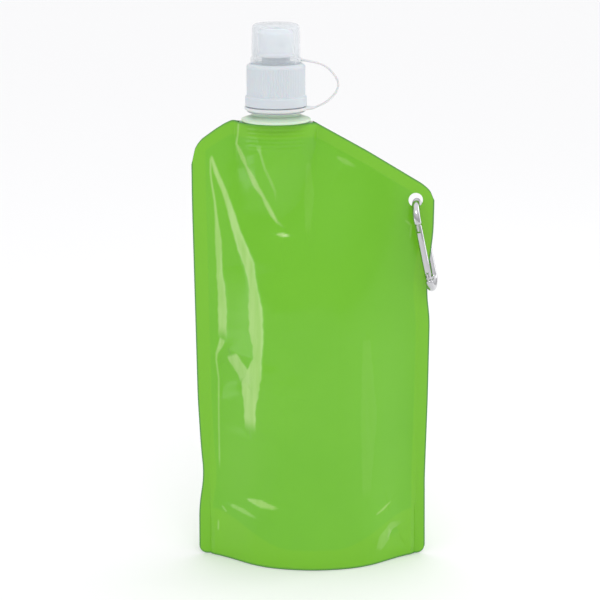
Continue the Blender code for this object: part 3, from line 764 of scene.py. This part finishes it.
def make_spokes():
    """Three arms that hold the plug in the tower."""
    bm = bmesh.new()
    for i in range(3):
        angle = math.radians(30 + 120 * i)
        made = bmesh.ops.create_cube(bm, size=1)["verts"]
        bmesh.ops.scale(bm, vec=Vector((3.9, 1.2, 2.2)) * MM, verts=made)
        bmesh.ops.translate(bm, vec=Vector((4.25, 0, 0)) * MM, verts=made)
        bmesh.ops.rotate(bm, cent=(0, 0, 0), matrix=Matrix.Rotation(angle, 3, "Z"), verts=made)
    bmesh.ops.translate(bm, vec=AXIS + Vector((0, 0, 278.6)) * MM, verts=bm.verts)
    bmesh.ops.bevel(bm, geom=list(bm.edges), offset=0.15 * MM, segments=2, affect="EDGES")
    spokes = link_bmesh("plug_spokes", bm, CAP_MAT)
    smooth_shade(spokes.data)
    return spokes


def make_nozzle():
    profile = [(6.9, 292.3), (7.4, 292.0), (9.2, 289.8), (9.4, 289.0), (9.4, 279.6), (9.9, 279.0),
               (9.9, 277.6), (7.9, 277.4), (7.9, 290.6), (2.9, 290.6), (2.9, 292.3)]

    def dimple(r, z, angle):
        waist = np.exp(-(((z - 283.5) / 2.6) ** 2)) * (np.abs(r - NOZZLE_WALL) < SAME_WALL)
        return -0.35 * waist
    return lathe("push_pull_nozzle", profile, NOZZLE_MAT, 160, 0.35, dimple, 0.4)


def make_dust_cap():
    profile = [(0, DUST_TOP), (9.6, DUST_TOP), (11.2, 294.4), (12.2, 293.5), (12.5, 292.2), (12.9, 277.2),
               (13.3, 276.8), (13.3, 274.4), (11.9, 274.4), (11.6, 292.0), (11.1, 293.2), (9.8, 293.8),
               (0, 293.8)]
    return lathe("dust_cover", profile, CLEAR_MAT, 160, 0.5)


# ---------------------------------------------------------------- tether
STRAP_ROUTE = [(-6.2, 275.6), (-4.6, 275.4), (-1.0, 274.7), (4.4, 273.3), (9.0, 270.2), (12.3, 265.8),
               (13.1, 262.4), (11.9, 258.8), (8.7, 255.2), (5.6, 252.9), (2.0, 251.2), (0.4, 250.7),
               (-2.6, 250.4)]


def spline_points(points, per_span):
    """Points along a Catmull-Rom curve through the given ones."""
    ends = [points[0]] + list(points) + [points[-1]]
    out = []
    for a, b, c, d in zip(ends, ends[1:], ends[2:], ends[3:]):
        for k in range(per_span):
            t = k / per_span
            out.append(0.5 * ((2 * b) + (c - a) * t + (2 * a - 5 * b + 4 * c - d) * t * t
                              + (3 * b - a - 3 * c + d) * t ** 3))
    out.append(points[-1])
    return out


def swept(name, path, section, mat):
    """Sweeps section(share) along a path in the XZ plane; section gives (outward, sideways) pairs."""
    rings = []
    side = Vector((0, 1, 0))
    for i, here in enumerate(path):
        before, after = path[max(0, i - 1)], path[min(len(path) - 1, i + 1)]
        run = (after - before).normalized()
        out = run.cross(side).normalized()
        rings.append([here + out * a + side * b for a, b in section(i / (len(path) - 1))])
    obj = skin(name, rings, mat)
    smooth_shade(obj.data, 40)
    return obj


def strap_section(share):
    """Rounded flat section, wider and thicker where the strap joins the two moulded tabs."""
    root = math.exp(-((share / 0.06) ** 2)) + math.exp(-(((1 - share) / 0.07) ** 2))
    half_thick, half_wide = 0.6 + 0.2 * root, 0.8 + 1.1 * root
    return [(half_thick * math.cos(a), half_wide * math.sin(a)) for a in turns(14)]


def make_tether():
    profile = [(16.4, 251.3), (16.7, 251.0), (16.7, 250.0), (15.9, 249.3), (15.2, 249.3), (15.2, 251.3)]
    ring = lathe("tether_band", profile, TETHER_MAT, 144, 0.2)
    tab = tab_wedge("ring_tab", [(15.7, 4.6, 1.1), (18.0, 3.2, 0.95), (20.6, 1.2, 0.62)], 250.4, TETHER_MAT)
    lug = tab_wedge("cover_lug", [(13.0, 1.7, 0.75), (14.4, 1.4, 0.65), (15.0, 1.1, 0.5)], 275.7, TETHER_MAT)
    route = spline_points([Vector((x, 0, z)) for x, z in STRAP_ROUTE], 8)
    strap = swept("strap", route, strap_section, TETHER_MAT)
    return ring, tab, lug, strap


def tab_wedge(name, stations, height, mat):
    """A tapering tab that runs out from the axis: stations are (reach, half width, half thickness)."""
    rings = [[(SPOUT_X + reach, wide * math.cos(a), height + thick * math.sin(a)) for a in turns(20)]
             for reach, wide, thick in stations]
    obj = skin(name, rings, mat)
    smooth_shade(obj.data, 45)
    return obj


# ---------------------------------------------------------------- carabiner
WIRE = 2.1
LOOP_RADIUS = 9.0
BEND_DROP = 5.0
LOOP_LENGTH = 47.3
NOSE = 9.6
LATCH = 12.8
PIN = 39.2
HINGE_END = 42.0
GATE_TOP = 10.1
GATE_RADIUS = 1.9
TONGUE = 1.2


def carabiner_frame():
    """Origin in the hole, X across the loop to its back leg and Z up the loop, from the joints' axes."""
    swing, gate = joints["carabiner_swing"], joints["gate_open"]
    across = -Vector(swing["axis"]).normalized()
    normal = Vector(gate["axis"]).normalized()
    up = across.cross(normal).normalized()
    turn = Matrix((across, normal, up)).transposed().to_4x4()
    return Matrix.Translation(Vector(swing["pos_m"])) @ turn


def round_bar(name, points, radius, mat, sides=28):
    """A round wire through points in millimetres, with domed ends."""
    rings = []
    path = [Vector(p) for p in points]
    normal = Vector((0, 1, 0))
    rounding = 5
    quarter = [math.pi / 2 * k / rounding for k in range(rounding + 1)]
    for i, here in enumerate(path):
        before, after = path[max(0, i - 1)], path[min(len(path) - 1, i + 1)]
        run = (after - before).normalized()
        out = run.cross(normal).normalized()
        head = [(-math.sin(a) * 0.5, math.cos(a)) for a in reversed(quarter[1:])] if i == 0 else []
        tail = [(math.sin(a) * 0.5, math.cos(a)) for a in quarter[1:]] if i == len(path) - 1 else []
        for shift, share in head + [(0, 1)] + tail:
            centre = here + run * shift * radius
            share = max(share, 0.05)
            spokes = [out * math.cos(a) + normal * math.sin(a) for a in turns(sides)]
            rings.append([centre + spoke * radius * share for spoke in spokes])
    return skin(name, rings, mat)


def block(name, size, place, bevel=0.0):
    bm = bmesh.new()
    bmesh.ops.create_cube(bm, size=1)
    bmesh.ops.scale(bm, vec=Vector(size) * MM, verts=bm.verts)
    if bevel:
        bmesh.ops.bevel(bm, geom=list(bm.edges), offset=bevel * MM, segments=3, affect="EDGES")
    bmesh.ops.translate(bm, vec=Vector(place) * MM, verts=bm.verts)
    return link_bmesh(name, bm)


def cross_rod(name, radius, length, place):
    bm = bmesh.new()
    bmesh.ops.create_cone(bm, cap_ends=True, segments=32, radius1=radius * MM, radius2=radius * MM,
                          depth=length * MM)
    bmesh.ops.rotate(bm, cent=(0, 0, 0), matrix=Matrix.Rotation(math.pi / 2, 3, "X"), verts=bm.verts)
    bmesh.ops.translate(bm, vec=Vector(place) * MM, verts=bm.verts)
    return link_bmesh(name, bm)


def combine(obj, tools):
    """Joins or cuts each (tool, operation) in turn, and removes the tools."""
    for tool, operation in tools:
        step = obj.modifiers.new("Step", "BOOLEAN")
        step.operation = operation
        step.solver = "EXACT"
        step.object = tool
    bpy.context.view_layer.update()
    bake_modifiers(obj)
    for tool, _ in tools:
        bpy.data.objects.remove(tool, do_unlink=True)


def loop_route():
    points = [(-LOOP_RADIUS, 0, -NOSE)]
    for i in range(33):
        angle = math.pi * i / 32
        points.append((-LOOP_RADIUS * math.cos(angle), 0, -LOOP_RADIUS * (1 - math.sin(angle))))
    for i in range(1, 8):
        share = i / 8
        points.append((LOOP_RADIUS, 0, -LOOP_RADIUS - share * (LOOP_LENGTH - BEND_DROP - LOOP_RADIUS)))
    for i in range(33):
        angle = math.pi * i / 32
        points.append((LOOP_RADIUS * math.cos(angle), 0, -LOOP_LENGTH + BEND_DROP * (1 - math.sin(angle))))
    points.append((-LOOP_RADIUS, 0, -HINGE_END))
    return points


def make_carabiner():
    place = carabiner_frame()
    front = -LOOP_RADIUS
    body = round_bar("clip_hook", loop_route(), WIRE, CHROME_MAT)
    combine(body, [
        (block("hinge_tongue", (3.2, TONGUE, 5.6), (front, 0, -(HINGE_END - 1.6)), 0.3), "UNION"),
        (block("nose_tongue", (3.0, TONGUE, 5.2), (front, 0, -(NOSE + 1.9)), 0.3), "UNION"),
        (block("nose_notch", (2.9, 3.0, 1.6), (front + 0.65, 0, -LATCH)), "DIFFERENCE"),
        (cross_rod("rivet_hole", 0.8, 8, (front, 0, -PIN)), "DIFFERENCE"),
    ])
    gate = round_bar("clip_gate_bar", [(front, 0, -GATE_TOP - 0.9), (front, 0, -20), (front, 0, -30),
                                       (front, 0, -PIN - 0.9)], GATE_RADIUS, CHROME_MAT)
    fork = TONGUE + 0.6
    combine(gate, [
        (block("fork_slot", (6, fork, 6.0), (front, 0, -PIN - 0.4)), "DIFFERENCE"),
        (block("latch_slot", (6, fork, 6.4), (front, 0, -GATE_TOP - 1.4)), "DIFFERENCE"),
        (cross_rod("rivet_seat", 0.75, 8, (front, 0, -PIN)), "DIFFERENCE"),
        (cross_rod("latch_seat", 0.6, 8, (front, 0, -LATCH)), "DIFFERENCE"),
    ])
    rivet = round_bar("rivet_pin", [(front, -2.05, -PIN), (front, 2.05, -PIN)], 0.6, STEEL_MAT, 20)
    pin = round_bar("latch_cross_pin", [(front, -1.75, -LATCH), (front, 1.75, -LATCH)], 0.45, STEEL_MAT, 20)
    for obj in (body, gate, rivet, pin):
        smooth_shade(obj.data, 38)
        obj.matrix_world = place
    return body, gate, rivet, pin


# ---------------------------------------------------------------- scene
def make_camera():
    """Stands 0.95 m in front of the pouch and a little above the cap, looking slightly down."""
    distance, height, shift_x = 0.950, 0.381, -0.00705
    down = math.radians(13.9)
    data = bpy.data.cameras.new("camera")
    data.lens = 108.4
    data.sensor_width = 36
    data.clip_start = 0.01
    camera = bpy.data.objects.new("camera", data)
    camera.location = (shift_x, -distance, height)
    camera.rotation_euler = (math.pi / 2 - down, 0, 0)
    bpy.context.scene.collection.objects.link(camera)
    bpy.context.scene.camera = camera


def area_light(name, place, target, size, power):
    data = bpy.data.lights.new(name, "AREA")
    data.shape = "RECTANGLE"
    data.size, data.size_y = size
    data.energy = power
    light = bpy.data.objects.new(name, data)
    light.location = place
    light.rotation_euler = (Vector(target) - Vector(place)).to_track_quat("-Z", "Y").to_euler()
    bpy.context.scene.collection.objects.link(light)


def make_world():
    """Twice as bright overhead as at the horizon."""
    world = bpy.data.worlds.new("studio")
    world.use_nodes = True
    nodes, links = world.node_tree.nodes, world.node_tree.links
    coords = nodes.new("ShaderNodeTexCoord")
    split = nodes.new("ShaderNodeSeparateXYZ")
    shade = nodes.new("ShaderNodeValToRGB")
    stops = [(0.0, 0.3), (0.5, 0.5), (0.6, 0.5), (0.75, 0.75), (1.0, 1.0)]
    while len(shade.color_ramp.elements) < len(stops):
        shade.color_ramp.elements.new(0.5)
    for element, (place, grey) in zip(shade.color_ramp.elements, stops):
        element.position = place
        element.color = (grey, grey, grey * 1.01, 1)
    spread = nodes.new("ShaderNodeMapRange")
    spread.inputs["From Min"].default_value = -1
    links.new(coords.outputs["Generated"], split.inputs[0])
    links.new(split.outputs["Z"], spread.inputs["Value"])
    links.new(spread.outputs["Result"], shade.inputs["Fac"])
    links.new(shade.outputs["Color"], nodes["Background"].inputs["Color"])
    nodes["Background"].inputs["Strength"].default_value = 1.26
    bpy.context.scene.world = world


def make_stage():
    bm = bmesh.new()
    bmesh.ops.create_grid(bm, x_segments=1, y_segments=1, size=14)
    mat = new_material("pale_floor", (0.93, 0.93, 0.93), 0.8, Specular_IOR_Level=0.1)
    floor = link_bmesh("floor", bm, mat)
    floor.location = (0, 0, -0.0002)
    area_light("left_strip", (-0.6, -0.24, 0.075), (0, 0, 0.09), (0.2, 0.14), 0.1)
    area_light("high_front", (0.1, -0.85, 1.15), (0, 0, 0.16), (0.5, 0.3), 2.2)
    area_light("right_rim", (0.75, 0.25, 0.4), (0, 0, 0.15), (0.3, 0.6), 1.0)


def attach(obj, body, nodes=()):
    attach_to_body(obj, body)
    if nodes:
        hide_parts(*nodes)


def main():
    bpy.context.scene.view_settings.view_transform = "Standard"
    make_camera()
    make_world()
    make_stage()

    front = make_panel("film_front", -1, FRONT_CREASES, 1.7)
    back = make_panel("film_back", 1, BACK_CREASES, 8.3)
    gusset_front = make_gusset("gusset_front", -1)
    gusset_back = make_gusset("gusset_back", 1)
    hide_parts("front_panel")
    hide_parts("back_panel")
    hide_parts("bottom_gusset")
    for obj, body, side in ((front, "front_film", -1), (gusset_front, "front_film", -1),
                            (back, "back_film", 1), (gusset_back, "back_film", 1)):
        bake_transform(obj)

    attach(make_spout(), "root", ["spout_fitment"])
    attach(make_weld_block(), "root")
    closure, plug = make_closure()
    attach(closure, "cap", ["closure_cap"])
    attach(plug, "cap")
    attach(make_spokes(), "cap")
    attach(make_nozzle(), "mouthpiece", ["nozzle"])
    attach(make_dust_cap(), "dust_cover", ["dust_cap"])
    ring, tab, lug, strap = make_tether()
    attach(ring, "tether", ["tether_ring"])
    attach(tab, "tether")
    attach(lug, "dust_cover")
    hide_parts("tether_strap")
    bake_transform(strap)

    body, gate, rivet, pin = make_carabiner()
    attach(body, "clip", ["carabiner_body"])
    attach(rivet, "clip", ["gate_rivet"])
    attach(gate, "clip_gate", ["carabiner_gate"])
    attach(pin, "clip_gate", ["latch_pin"])
    for name, mat in (("seal_gasket", FOAM_MAT), ("gate_plunger", STEEL_MAT), ("gate_spring", STEEL_MAT)):
        frame["nodes"][name].data.materials.clear()
        frame["nodes"][name].data.materials.append(mat)


main()
